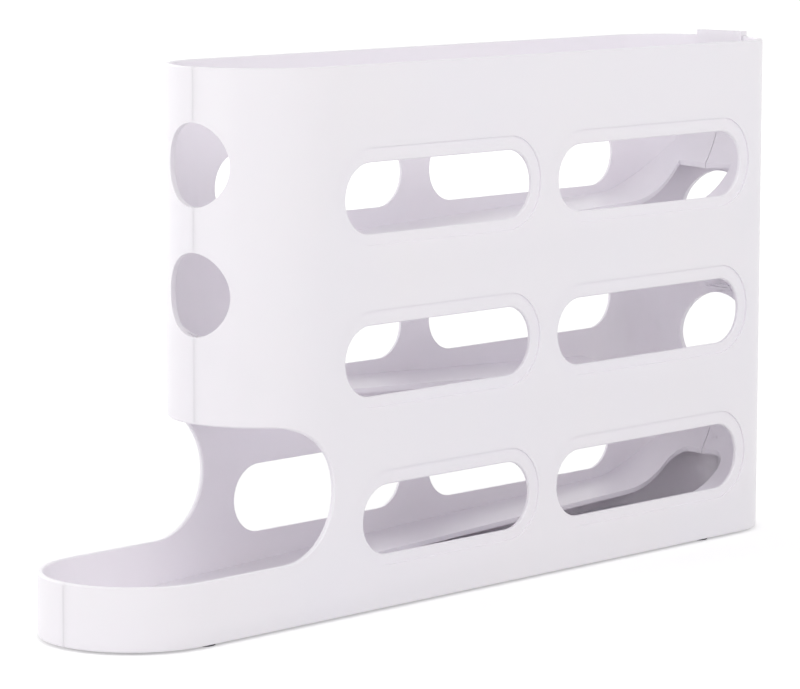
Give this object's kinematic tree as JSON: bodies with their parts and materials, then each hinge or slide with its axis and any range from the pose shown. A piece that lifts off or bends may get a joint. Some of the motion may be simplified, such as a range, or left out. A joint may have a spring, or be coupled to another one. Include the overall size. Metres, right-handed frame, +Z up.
{
  "type": "gravity-feed egg dispenser",
  "caption": "Slab-shaped white egg dispenser: eggs dropped in at the open top roll down three zig-zag slotted ramps into a low round-nosed tray; stadium windows in both sides.",
  "frame": {"origin": "bottom centre: middle of the length and width, on the plane of the pads' undersides", "axes": "+X from the tray to the rear wall along the length, +Y to the left half shell, +Z up"},
  "size_m": [0.3896, 0.0734, 0.2133],
  "materials": {
    "white_plastic": "satin moulded polypropylene",
    "grey_rubber": "matte"
  },
  "bodies": {
    "root": {"right_half_shell": "white_plastic", "left_half_shell": "white_plastic", "rear_rim_clip": "white_plastic", "front_right_pad": "grey_rubber", "front_left_pad": "grey_rubber", "rear_right_pad": "grey_rubber", "rear_left_pad": "grey_rubber"}
  },
  "joints": []
}
